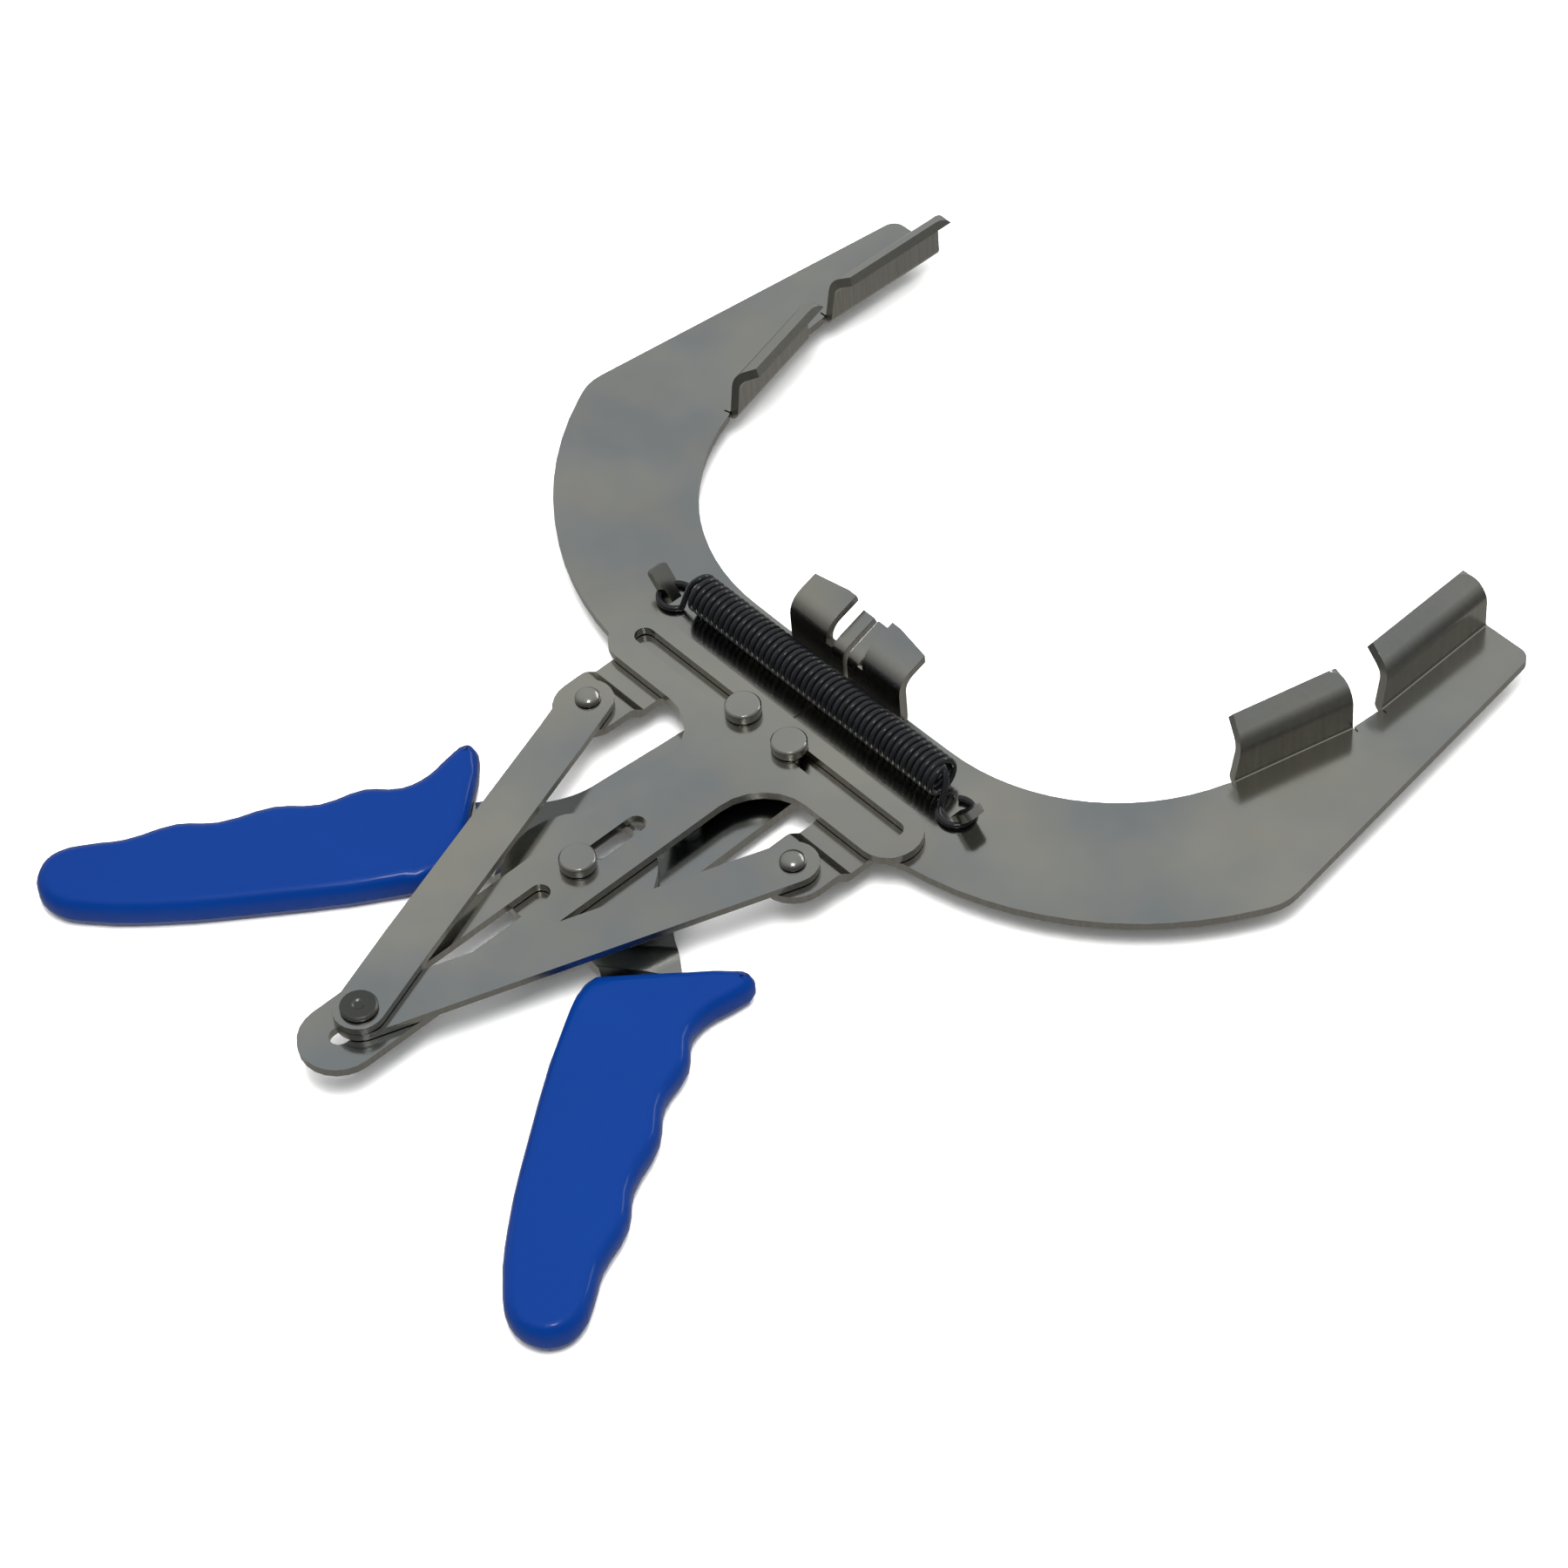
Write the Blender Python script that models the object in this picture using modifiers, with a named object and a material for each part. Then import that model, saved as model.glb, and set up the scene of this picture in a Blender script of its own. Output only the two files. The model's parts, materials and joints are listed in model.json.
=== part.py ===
# Piston ring expander: two sheet steel jaws slide apart along the crossbar of a
# T-shaped guide plate when the two plastic grips are squeezed.
#
# Sizes are in millimetres and the mesh helpers turn them into metres. While the
# parts are modelled, x = 0 is the seam between the jaws, +Y points at the ring
# space and z = 0 is the top of the guide plate. The right half is modelled and
# most of the left half is its mirror image.
from math import acos, atan2, ceil, cos, degrees, hypot, pi, radians, sin, tan

import bmesh
import bpy
from mathutils import Matrix, Vector

for leftover in list(bpy.data.objects):
    bpy.data.objects.remove(leftover, do_unlink=True)

MM = 0.001

# Sheets, the gap between touching pieces and the play of a pin in its hole or slot
SHEET = 2.5
LEVER_SHEET = 3.0
LINK_SHEET = 2.2
WASHER_SHEET = 0.5
GAP = 0.3
HOLE_PLAY = 0.15
SLOT_PLAY = 0.2

# Joint axes of the right half with the grips apart, and how far the levers turn
STUD = (9.1, 46.0)
PIVOT = (0.0, -19.67)
SPACER_AXIS = (0.0, STUD[1])
TAB_PIN = (40.5, 18.8)
REAR_PIN = (0.0, -92.0)
LEVER_TURN = 38.0
LEVER_MIDDLE = ((STUD[0] + PIVOT[0]) / 2, (STUD[1] + PIVOT[1]) / 2)
LEVER_LENGTH = hypot(STUD[0] - PIVOT[0], STUD[1] - PIVOT[1])
LEVER_END_ANGLE = atan2(STUD[0], STUD[1] - PIVOT[1]) + radians(LEVER_TURN)

# Rivets, pins and washers
RIVET_RADIUS = 2.6
RIVET_HEAD = RIVET_RADIUS + 2.4
RIVET_HEAD_HEIGHT = 3.1
RIVET_FOOT_HEIGHT = 3.0
RIVET_HOLE = RIVET_RADIUS + HOLE_PLAY
LINK_PIN_RADIUS = 2.2
LINK_PIN_DOME = LINK_PIN_RADIUS + 1.4
LINK_PIN_DOME_HEIGHT = 2.2
LINK_HOLE = LINK_PIN_RADIUS + GAP
REAR_PIN_FOOT = LINK_PIN_RADIUS + 2.0
REAR_HOLE_LOOSE = LINK_PIN_RADIUS + 1.0
SPACER_RADIUS = 1.5
SPACER_HOLE = SPACER_RADIUS + GAP
SPACER_HEAD = SPACER_RADIUS + 2.5
SPACER_FOOT = SPACER_RADIUS + 1.5
WASHER_RADIUS = RIVET_HEAD + 1.0

# Guide plate, whose slots reach a little past the travel of their pins
SLOT_HALF = RIVET_RADIUS + SLOT_PLAY
STUD_TRAVEL_X = (STUD[0] - SLOT_PLAY, LEVER_LENGTH * sin(LEVER_END_ANGLE) + 1.4)
PIVOT_END_Y = STUD[1] - LEVER_LENGTH * cos(LEVER_END_ANGLE)
PIVOT_TRAVEL_Y = (PIVOT[1] - SLOT_PLAY, PIVOT_END_Y + SLOT_PLAY)
REAR_TRAVEL_Y = (REAR_PIN[1] - 7.2, -32.8)
CROSSBAR_Y = (STUD[1] - 10.5, STUD[1] + 8.0)
CROSSBAR_HALF = STUD_TRAVEL_X[1] + 9.0
STEM_HALF = SLOT_HALF + 8.2
STEM_END_Y = REAR_TRAVEL_Y[0] - 11.0
STEM_FILLET = 16.0

# Jaws: the seam, the ring side and the tab that carries the link pin
SEAM = 0.2
JAW_REAR_Y = CROSSBAR_Y[0] + 1.5
JAW_TIP_Y = 207.9
JAW_TIP_X = 123.4
JAW_WIDEST = (136.9, 101.0)
RING_SIDE = (38.0, 139.5, 63.0)
OUTER_SIDE = (43.0, 142.5, 102.4)
TAB_HALF = LINK_HOLE + 7.3
TAB_BEND_Y = (TAB_PIN[1] + 6.7, TAB_PIN[1] + 10.2)

# Spring and the lugs that hold it
SPRING_Y = STUD[1] + 19.5
SPRING_HALF = 48.0
SPRING_RADIUS = 4.75
SPRING_WIRE = 1.5
SPRING_TURNS = 47
LUG = (SPRING_HALF + 8.5, SPRING_Y - 2.9)
LUG_THICKNESS = 2.4
LUG_HEIGHT = 9.5
LUG_LEAN = 42.0
LOOP_RADIUS = 4.7

# Claws: foot line, then lip height and lean
CLAW_LINES = (((98.5, 121.2), (107.4, 156.4)), ((108.2, 166.5), (107.2, JAW_TIP_Y)))
CLAW_BEND_Z = 8.6
CLAW_LIP = 8.1
CLAW_LIP_ANGLE = 34.0
CLAW_BEND_RADIUS = 5.5
CLAW_END_SLANT = 4.5
CLAW_CORNER = 5.0
BEND_RELIEF = 0.5
CENTRE_CLAW_Y = SPRING_Y + SPRING_RADIUS + SPRING_WIRE / 2 + 3.5
JAW_FRONT_Y = CENTRE_CLAW_Y + 1.8
CENTRE_CLAW_X = (0.8, 21.4)
CENTRE_LIP_X = 7.0
CENTRE_PRONG_X = 5.0

# Levers
STUD_END_RADIUS = 10.2
NECK_CURVE = (48.2, 6.5, 25.7)
LOWER_ARM_NARROWER = 2.6
BOSS_RADIUS = 18.6
RAISED_RADIUS = 20.5
RAISED_FOOT_RADIUS = 23.0
NECK_DROP = 2.05

# Grips: the grip's own axes start at GRIP_START and run down the handle and outwards
GRIP_START = (27.5, -42.0)
GRIP_ANGLE = -54.1
GRIP_ABOVE_TANG = 6.25
GRIP_THICKNESS = 10.4
GRIP_EDGE = 3.6
TANG_END = 92.0

# Links
LINK_HALF = 7.0
LINK_BEND = (24.0, 104.0)

# Levels, from the guide plate down and up
GUIDE_LOW = -SHEET
JAW_TOP = GUIDE_LOW - GAP
JAW_LOW = JAW_TOP - SHEET
RAISED_TOP = GUIDE_LOW - GAP
RAISED_LOW = RAISED_TOP - LEVER_SHEET
LEVER_TOP = min(RAISED_LOW - 2 * GAP, JAW_LOW - WASHER_SHEET - 2 * GAP)
LEVER_LOW = LEVER_TOP - LEVER_SHEET
WASHER_TOP = JAW_LOW - GAP
WASHER_LOW = LEVER_TOP + GAP
TANG_MIDDLE = (LEVER_TOP + LEVER_LOW) / 2 - NECK_DROP
GRIP_TOP = TANG_MIDDLE + GRIP_ABOVE_TANG
LINK_LOW = GAP
LINK_TOP = LINK_LOW + LINK_SHEET
UPPER_LINK_LOW = LINK_TOP + GAP
UPPER_LINK_TOP = UPPER_LINK_LOW + LINK_SHEET
SPRING_Z = JAW_TOP + GAP + SPRING_RADIUS + SPRING_WIRE / 2
FAR = 30.0

STEEL = (0.50, 0.50, 0.47)
BRIGHT_STEEL = (0.56, 0.56, 0.54)
BLUE = (0.0, 0.05, 0.32)
BLACK = (0.015, 0.016, 0.02)

tool = bpy.data.collections.new("piston_ring_expander")
bpy.context.scene.collection.children.link(tool)


# Outlines

def arc(centre, radius, start, end):
    """Points on a circle between two angles in degrees."""
    steps = max(2, ceil(abs(end - start) / 15))
    if radius > 20:
        steps *= 3
    angles = [radians(start + (end - start) * i / steps) for i in range(steps + 1)]
    return [(centre[0] + radius * cos(a), centre[1] + radius * sin(a)) for a in angles]


def circle(centre, radius):
    return arc(centre, radius, 0, 345)


def capsule(start, end, radius):
    """A slot's outline: two half circles around its end centres."""
    heading = degrees(atan2(end[1] - start[1], end[0] - start[0]))
    near = arc(start, radius, heading + 90, heading + 270)
    far = arc(end, radius, heading - 90, heading + 90)
    return near + far


def rounded(corners):
    """An outline from corners (x, y), or (x, y, radius) where a corner is round."""
    points = []
    for i, corner in enumerate(corners):
        here = Vector(corner[:2])
        if len(corner) == 2:
            points.append(tuple(here))
            continue
        before = (Vector(corners[i - 1][:2]) - here).normalized()
        after = (Vector(corners[(i + 1) % len(corners)][:2]) - here).normalized()
        half = before.angle(after) / 2
        centre = here + (before + after).normalized() * corner[2] / sin(half)
        start = here + before * corner[2] / tan(half) - centre
        end = here + after * corner[2] / tan(half) - centre
        first = degrees(atan2(start.y, start.x))
        sweep = (degrees(atan2(end.y, end.x)) - first + 180) % 360 - 180
        points += arc(centre, corner[2], first, first + sweep)
    return points


def bent_strip(path, thickness):
    """The outline of a bent sheet seen on its edge; the path runs along its middle."""
    sides = ([], [])

    def add(point, heading):
        for side, sign in zip(sides, (1, -1)):
            side.append(point + Vector((-heading.y, heading.x)) * sign * thickness / 2)

    spots = [Vector(corner[:2]) for corner in path]
    headings = [(b - a).normalized() for a, b in zip(spots, spots[1:])]
    add(spots[0], headings[0])
    for i, (into, out) in enumerate(zip(headings, headings[1:]), 1):
        radius = path[i][2]
        turn = atan2(into.cross(out), into.dot(out))
        sign = 1 if turn > 0 else -1
        start = spots[i] - into * radius * tan(abs(turn) / 2)
        centre = start + Vector((-into.y, into.x)) * radius * sign
        steps = max(2, ceil(abs(degrees(turn)) / 15))
        for step in range(steps + 1):
            angle = turn * step / steps
            heading = Matrix.Rotation(angle, 2) @ into
            add(centre - Vector((-heading.y, heading.x)) * radius * sign, heading)
    add(spots[-1], headings[-1])
    return [tuple(p) for p in sides[0] + sides[1][::-1]]


def mirrored(outline):
    return [(-x, y) for x, y in outline]


# Solids

def as_mesh(source):
    """Replaces a curve or a modified object with its finished, closed mesh."""
    if not source.users_collection:
        tool.objects.link(source)
    graph = bpy.context.evaluated_depsgraph_get()
    graph.update()
    mesh = bpy.data.meshes.new_from_object(source.evaluated_get(graph))
    work = bmesh.new()
    work.from_mesh(mesh)
    bmesh.ops.remove_doubles(work, verts=work.verts, dist=0.000001)
    bmesh.ops.recalc_face_normals(work, faces=work.faces)
    work.to_mesh(mesh)
    work.free()
    solid = bpy.data.objects.new(source.name + "_solid", mesh)
    solid.matrix_world = source.matrix_world.copy()
    tool.objects.link(solid)
    bpy.data.objects.remove(source, do_unlink=True)
    return solid


def flat_curve(points_of_outlines):
    curve = bpy.data.curves.new("outline", "CURVE")
    curve.dimensions = "2D"
    curve.fill_mode = "BOTH"
    for outline in points_of_outlines:
        spline = curve.splines.new("POLY")
        spline.points.add(len(outline) - 1)
        spline.use_cyclic_u = True
        for point, (x, y) in zip(spline.points, outline):
            point.co = (x * MM, y * MM, 0, 1)
    return curve


def sheet(outlines, low, high):
    """A flat piece between two levels; outlines after the first are holes."""
    curve = flat_curve(outlines)
    curve.extrude = (high - low) / 2 * MM
    solid = as_mesh(bpy.data.objects.new("sheet", curve))
    solid.data.transform(Matrix.Translation((0, 0, (low + high) / 2 * MM)))
    return solid


def stand(solid, origin, across, up=(0, 0, 1)):
    """Turns a flat piece so that its X runs across and its Y runs up from the origin."""
    x_axis = Vector(across).normalized()
    y_axis = Vector(up)
    turn = Matrix((x_axis, y_axis, x_axis.cross(y_axis))).transposed().to_4x4()
    solid.data.transform(Matrix.Translation(Vector(origin) * MM) @ turn)
    return solid


def turned(profile, centre, closed=False):
    """A round piece about a vertical axis, from (radius, z) running down its outer side."""
    mesh = bpy.data.meshes.new("profile")
    ends = len(profile) if closed else len(profile) - 1
    edges = [(i, (i + 1) % len(profile)) for i in range(ends)]
    mesh.from_pydata([(r * MM, 0, z * MM) for r, z in profile], edges, [])
    source = bpy.data.objects.new("turned", mesh)
    screw = source.modifiers.new("turn", "SCREW")
    screw.steps = 24
    screw.render_steps = 24
    screw.use_merge_vertices = True
    screw.merge_threshold = 0.000001
    solid = as_mesh(source)
    solid.data.transform(Matrix.Translation((centre[0] * MM, centre[1] * MM, 0)))
    return solid


def combine(solid, other, how):
    """Adds, takes away or keeps the shared part of another solid, which is used up."""
    boolean = solid.modifiers.new("combine", "BOOLEAN")
    boolean.operation = how
    boolean.solver = "EXACT"
    boolean.object = other
    result = as_mesh(solid)
    bpy.data.objects.remove(other, do_unlink=True)
    return result


def mirror_copy(solid):
    """The left-hand copy of a right-hand solid."""
    mesh = solid.data.copy()
    mesh.transform(Matrix.Scale(-1, 4, (1, 0, 0)))
    mesh.flip_normals()
    copy = bpy.data.objects.new("mirrored", mesh)
    tool.objects.link(copy)
    return copy


# Naming, colour and placing

def material(name, colour, roughness, metallic):
    look = bpy.data.materials.new(name)
    look.use_nodes = True
    shader = look.node_tree.nodes["Principled BSDF"]
    shader.inputs["Base Color"].default_value = (*colour, 1)
    shader.inputs["Roughness"].default_value = roughness
    shader.inputs["Metallic"].default_value = metallic
    return look


def finish(solid, name, axis, colour, roughness, metallic):
    """Names a solid, colours it and hangs it on its joint axis."""
    solid.name = name
    solid.data.name = name
    solid.data.materials.clear()
    solid.data.materials.append(material(name, colour, roughness, metallic))
    solid.data.shade_smooth()
    solid.data.set_sharp_from_angle(angle=radians(30))
    solid.data.transform(Matrix.Translation(-axis.matrix_world.translation))
    solid.parent = axis


def steel_part(solid, name, axis):
    finish(solid, name, axis, STEEL, 0.3, 1.0)


def bright_part(solid, name, axis):
    finish(solid, name, axis, BRIGHT_STEEL, 0.25, 1.0)


def joint_axis(name, parent, spot):
    """An empty on a vertical joint axis."""
    axis = bpy.data.objects.new(name, None)
    axis.empty_display_size = 10 * MM
    tool.objects.link(axis)
    axis.parent = parent
    bpy.context.view_layer.update()
    origin = Vector((0, 0, 0)) if parent is None else parent.matrix_world.translation
    axis.location = Vector((spot[0] * MM, spot[1] * MM, 0)) - origin
    bpy.context.view_layer.update()
    return axis


# Guide plate

def guide_plate():
    rear, front = CROSSBAR_Y
    end_radius = (front - rear) / 2 - 0.01
    stem_radius = STEM_HALF - 0.01
    outline = rounded([
        (-CROSSBAR_HALF, front, end_radius),
        (CROSSBAR_HALF, front, end_radius),
        (CROSSBAR_HALF, rear, end_radius),
        (STEM_HALF, rear, STEM_FILLET),
        (STEM_HALF, STEM_END_Y, stem_radius),
        (-STEM_HALF, STEM_END_Y, stem_radius),
        (-STEM_HALF, rear, STEM_FILLET),
        (-CROSSBAR_HALF, rear, end_radius),
    ])
    inner, outer = STUD_TRAVEL_X
    stud_slot = capsule((inner, STUD[1]), (outer, STUD[1]), SLOT_HALF)
    front_slot = capsule((0, PIVOT_TRAVEL_Y[0]), (0, PIVOT_TRAVEL_Y[1]), SLOT_HALF)
    rear_slot = capsule((0, REAR_TRAVEL_Y[0]), (0, REAR_TRAVEL_Y[1]), SLOT_HALF)
    slots = [stud_slot, mirrored(stud_slot), front_slot, rear_slot]
    return sheet([outline, *slots], GUIDE_LOW, 0)


# Jaws

def beside(line, along, aside):
    """A point on a foot line, moved aside towards the ring."""
    start, end = Vector(line[0]), Vector(line[1])
    heading = (end - start).normalized()
    return tuple(start + heading * along + Vector((-heading.y, heading.x)) * aside)


def jaw_plan():
    """The jaw's flat outline, notched a little wider than each claw where it bends up."""
    near, far = CLAW_LINES
    near_length = hypot(near[1][0] - near[0][0], near[1][1] - near[0][1])
    far_length = hypot(far[1][0] - far[0][0], far[1][1] - far[0][1])
    notch = -2.0
    relief = [
        beside(near, -BEND_RELIEF, 0),
        beside(near, -BEND_RELIEF, notch),
        beside(near, near_length + BEND_RELIEF, notch),
        beside(near, near_length + BEND_RELIEF, 0),
        beside(far, -BEND_RELIEF, 0),
        beside(far, -BEND_RELIEF, notch),
        beside(far, far_length, notch),
    ]
    centre_notch_x = CENTRE_CLAW_X[1] + BEND_RELIEF
    centre_notch_y = CENTRE_CLAW_Y + notch
    tab_x = TAB_PIN[0] + 0.2
    tab_end = TAB_PIN[1] - TAB_HALF
    return rounded([
        (SEAM, JAW_REAR_Y),
        (SEAM, centre_notch_y),
        (centre_notch_x, centre_notch_y),
        (centre_notch_x, JAW_FRONT_Y),
        *arc(RING_SIDE[:2], RING_SIDE[2], -90, -18.5),
        *relief,
        (JAW_TIP_X, JAW_TIP_Y, 4),
        (*JAW_WIDEST, 14),
        *arc(OUTER_SIDE[:2], OUTER_SIDE[2], -28, -81.6),
        (tab_x + TAB_HALF, JAW_REAR_Y + 1.5),
        (tab_x + TAB_HALF, tab_end, TAB_HALF - 0.01),
        (tab_x - TAB_HALF, tab_end, TAB_HALF - 0.01),
        (tab_x - TAB_HALF, JAW_REAR_Y, 3),
    ])


def claw(line, profile, side):
    """A claw bent up from the plate: its profile along a foot line, cut to its side view."""
    start, end = Vector((*line[0], 0)), Vector((*line[1], 0))
    heading = (end - start).normalized()
    inward = Vector((-heading.y, heading.x, 0))
    strip = stand(sheet([bent_strip(profile, SHEET)], -5, (end - start).length + 5), start, inward)
    trim = stand(sheet([rounded(side)], -FAR, FAR), start, heading)
    return combine(strip, trim, "INTERSECT")


def ring_claw(line):
    """One of the two long claws, whose lip leans over the ring."""
    length = hypot(line[1][0] - line[0][0], line[1][1] - line[0][1])
    middle = (JAW_TOP + JAW_LOW) / 2
    lean = radians(CLAW_LIP_ANGLE)
    bend = (SHEET / 2, CLAW_BEND_Z)
    lip = (bend[0] + CLAW_LIP * cos(lean), bend[1] + CLAW_LIP * sin(lean))
    profile = [(-4, middle), (SHEET / 2, middle, 1.8), (*bend, CLAW_BEND_RADIUS), lip]
    top = lip[1] + SHEET
    tip = lip[1] + SHEET / 2 * cos(lean)
    drop = CLAW_CORNER * sin(lean)
    corner = [
        (length - CLAW_CORNER * (1 - sin(a)), tip - drop * (1 - cos(a)))
        for a in (radians(15 * i) for i in range(7))
    ]
    side = [
        (0, JAW_LOW - 1),
        (0, JAW_TOP),
        (CLAW_END_SLANT * 0.5, CLAW_BEND_Z),
        (CLAW_END_SLANT, top),
        (length - CLAW_CORNER, top),
        *corner,
        (length, JAW_LOW - 1),
    ]
    return claw(line, profile, side)


def centre_claw():
    """The wide claw beside the seam, with a round bend and a narrow prong."""
    middle = (JAW_TOP + JAW_LOW) / 2
    first, last = CENTRE_CLAW_X
    line = ((0, CENTRE_CLAW_Y), (last, CENTRE_CLAW_Y))
    foot = [(-4, middle), (SHEET / 2, middle, 1.8)]
    lip_profile = [*foot, (SHEET / 2, 11.3, 5.5), (12, 15)]
    prong_profile = [*foot, (SHEET / 2, 6.5, 3.5), (12.5, 10.6)]
    lip_side = [
        (first, JAW_LOW - 1),
        (first, 1.0),
        (CENTRE_PRONG_X, 1.0),
        (CENTRE_PRONG_X, 6.5),
        (CENTRE_LIP_X, 6.5),
        (CENTRE_LIP_X, FAR),
        (last, FAR),
        (last, JAW_LOW - 1),
    ]
    prong_side = [
        (first, JAW_LOW - 1),
        (first, FAR),
        (CENTRE_PRONG_X, FAR),
        (CENTRE_PRONG_X, JAW_LOW - 1),
    ]
    lip = claw(line, lip_profile, lip_side)
    back = CENTRE_CLAW_Y - 14
    lip_front = [(-5, back), (-5, back + 28), (last + 5, back + 23), (last + 5, back)]
    lip = combine(lip, sheet([lip_front], -FAR, FAR), "INTERSECT")
    return combine(lip, claw(line, prong_profile, prong_side), "UNION")


def spring_lug():
    """A tongue bent up from the plate, leaning outwards, with a neck for the spring's loop."""
    neck, head = 1.7, 2.8
    shoulder = 2.9
    outline = rounded([
        (-neck, -1.5), (neck, -1.5), (neck, shoulder), (head, shoulder + 0.8),
        (head, LUG_HEIGHT, 1.2), (-head, LUG_HEIGHT, 1.2), (-head, shoulder + 0.8),
        (-neck, shoulder),
    ])
    tongue = sheet([outline], -LUG_THICKNESS / 2, LUG_THICKNESS / 2)
    lean = radians(LUG_LEAN)
    return stand(tongue, (*LUG, JAW_TOP), (0, 1, 0), (sin(lean), 0, cos(lean)))


def jaw():
    low, high = TAB_BEND_Y
    tab_middle = GUIDE_LOW / 2
    jaw_middle = (JAW_TOP + JAW_LOW) / 2
    path = [(0, tab_middle), (low, tab_middle, 2.5), (high, jaw_middle, 2.5), (220, jaw_middle)]
    side = stand(sheet([bent_strip(path, SHEET)], -10, 150), (0, 0, 0), (0, 1, 0))
    holes = [circle(STUD, RIVET_HOLE), circle(TAB_PIN, LINK_HOLE)]
    body = combine(sheet([jaw_plan(), *holes], JAW_LOW - 1, 1), side, "INTERSECT")
    for line in CLAW_LINES:
        body = combine(body, ring_claw(line), "UNION")
    body = combine(body, centre_claw(), "UNION")
    return combine(body, spring_lug(), "UNION")


# Rivets, pins and washers

def headed_pin(centre, radius, head, foot, levels):
    """A pin with a flat head and a flat foot: levels are head top, head, foot, foot low."""
    top, head_low, foot_top, low = levels
    edge = 0.5
    return turned([
        (0, top), (head - edge, top), (head, top - edge), (head, head_low + edge / 2),
        (head - edge / 2, head_low), (radius, head_low), (radius, foot_top),
        (foot - edge / 2, foot_top), (foot, foot_top - edge / 2), (foot, low + edge),
        (foot - edge, low), (0, low),
    ], centre)


def rivet(centre):
    foot_top = LEVER_LOW - GAP
    levels = (GAP + RIVET_HEAD_HEIGHT, GAP, foot_top, foot_top - RIVET_FOOT_HEIGHT)
    return headed_pin(centre, RIVET_RADIUS, RIVET_HEAD, RIVET_HEAD, levels)


def washer():
    hole = RIVET_RADIUS + SLOT_PLAY
    profile = [
        (hole, WASHER_TOP), (WASHER_RADIUS, WASHER_TOP),
        (WASHER_RADIUS, WASHER_LOW), (hole, WASHER_LOW),
    ]
    return turned(profile, STUD, closed=True)


def link_pin():
    """A domed pin: the tab carries it and the link turns on it."""
    foot_top = GUIDE_LOW - GAP
    low = foot_top - 1.0
    base = LINK_TOP + GAP
    dome = [
        (LINK_PIN_DOME * cos(a), base + LINK_PIN_DOME_HEIGHT * sin(a))
        for a in (pi / 2 * (5 - i) / 5 for i in range(1, 6))
    ]
    foot = LINK_PIN_DOME - 0.2
    return turned([
        (0, base + LINK_PIN_DOME_HEIGHT), *dome, (LINK_PIN_RADIUS, base),
        (LINK_PIN_RADIUS, foot_top), (foot, foot_top), (foot, low), (0, low),
    ], TAB_PIN)


def rear_pin():
    """The pin at the end of the two links; its head has a small dimple."""
    edge = 0.5
    head_low = UPPER_LINK_TOP + GAP
    top = head_low + 1.25
    foot_top = GUIDE_LOW - GAP
    low = foot_top - 0.7
    return turned([
        (0, top - edge), (1.2, top - edge), (1.8, top), (RIVET_HEAD - edge, top),
        (RIVET_HEAD, top - edge), (RIVET_HEAD, head_low), (LINK_PIN_RADIUS, head_low),
        (LINK_PIN_RADIUS, foot_top), (REAR_PIN_FOOT, foot_top), (REAR_PIN_FOOT, low),
        (0, low),
    ], REAR_PIN)


def spacer_rivet():
    """A low rivet halfway along the lever that keeps it flat under the guide plate."""
    foot_top = LEVER_LOW - GAP
    levels = (GUIDE_LOW - GAP, LEVER_TOP + GAP, foot_top, foot_top - 1.3)
    return headed_pin(LEVER_MIDDLE, SPACER_RADIUS, SPACER_HEAD, SPACER_FOOT, levels)


# Levers

def grip_point(along, outward):
    """A point in the right grip's own axes, as plan coordinates."""
    angle = radians(GRIP_ANGLE)
    x = GRIP_START[0] + along * cos(angle) - outward * sin(angle)
    y = GRIP_START[1] + along * sin(angle) + outward * cos(angle)
    return (x, y)


def tang_corners(gap):
    """The tail of the lever inside the grip, in the grip's axes, from outside to inside."""
    return [
        (-6, 24.6 + gap), (4, 20 + gap), (TANG_END + gap, 20 + gap),
        (TANG_END + gap, 5 - gap), (2, 5 - gap), (-5, 3 - gap),
    ]


def lever_plan(narrower):
    """Arm, neck and tang as a right lever; the inner points lie inside the boss."""
    reach = (STUD[0] - SEAM - 0.05) / STUD_END_RADIUS
    start = 180 - degrees(acos(reach))
    seam_top = arc(STUD, STUD_END_RADIUS, start, 0)
    tang = [(*grip_point(*p), 3.0) if 0 < i < 4 else grip_point(*p)
            for i, p in enumerate(tang_corners(0))]
    return rounded([
        (SEAM + 0.05, 11),
        *seam_top,
        *arc((NECK_CURVE[0] - narrower, NECK_CURVE[1]), NECK_CURVE[2], 181, 248),
        *tang,
        (24, -34.5, 2),
        (12, -34.2),
        (PIVOT[0] + 4, PIVOT[1]),
        (9.5, -2.4),
        (9.3, 0.8, 1.5),
    ])


def lever_holes():
    return [circle(STUD, RIVET_HOLE), circle(LEVER_MIDDLE, SPACER_HOLE)]


def lever_body(narrower=0):
    """A right lever's arm, neck and tang, with the step down in the neck."""
    middle = (LEVER_TOP + LEVER_LOW) / 2
    path = [(-110, middle), (-16, middle, 3), (-9, TANG_MIDDLE, 3), (130, TANG_MIDDLE)]
    angle = radians(GRIP_ANGLE)
    outline = bent_strip(path, LEVER_SHEET)
    side = stand(sheet([outline], -120, 120), (*GRIP_START, 0), (cos(angle), sin(angle), 0))
    plan = sheet([lever_plan(narrower), *lever_holes()], LEVER_LOW - 4, LEVER_TOP + 1)
    return combine(plan, side, "INTERSECT")


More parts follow.
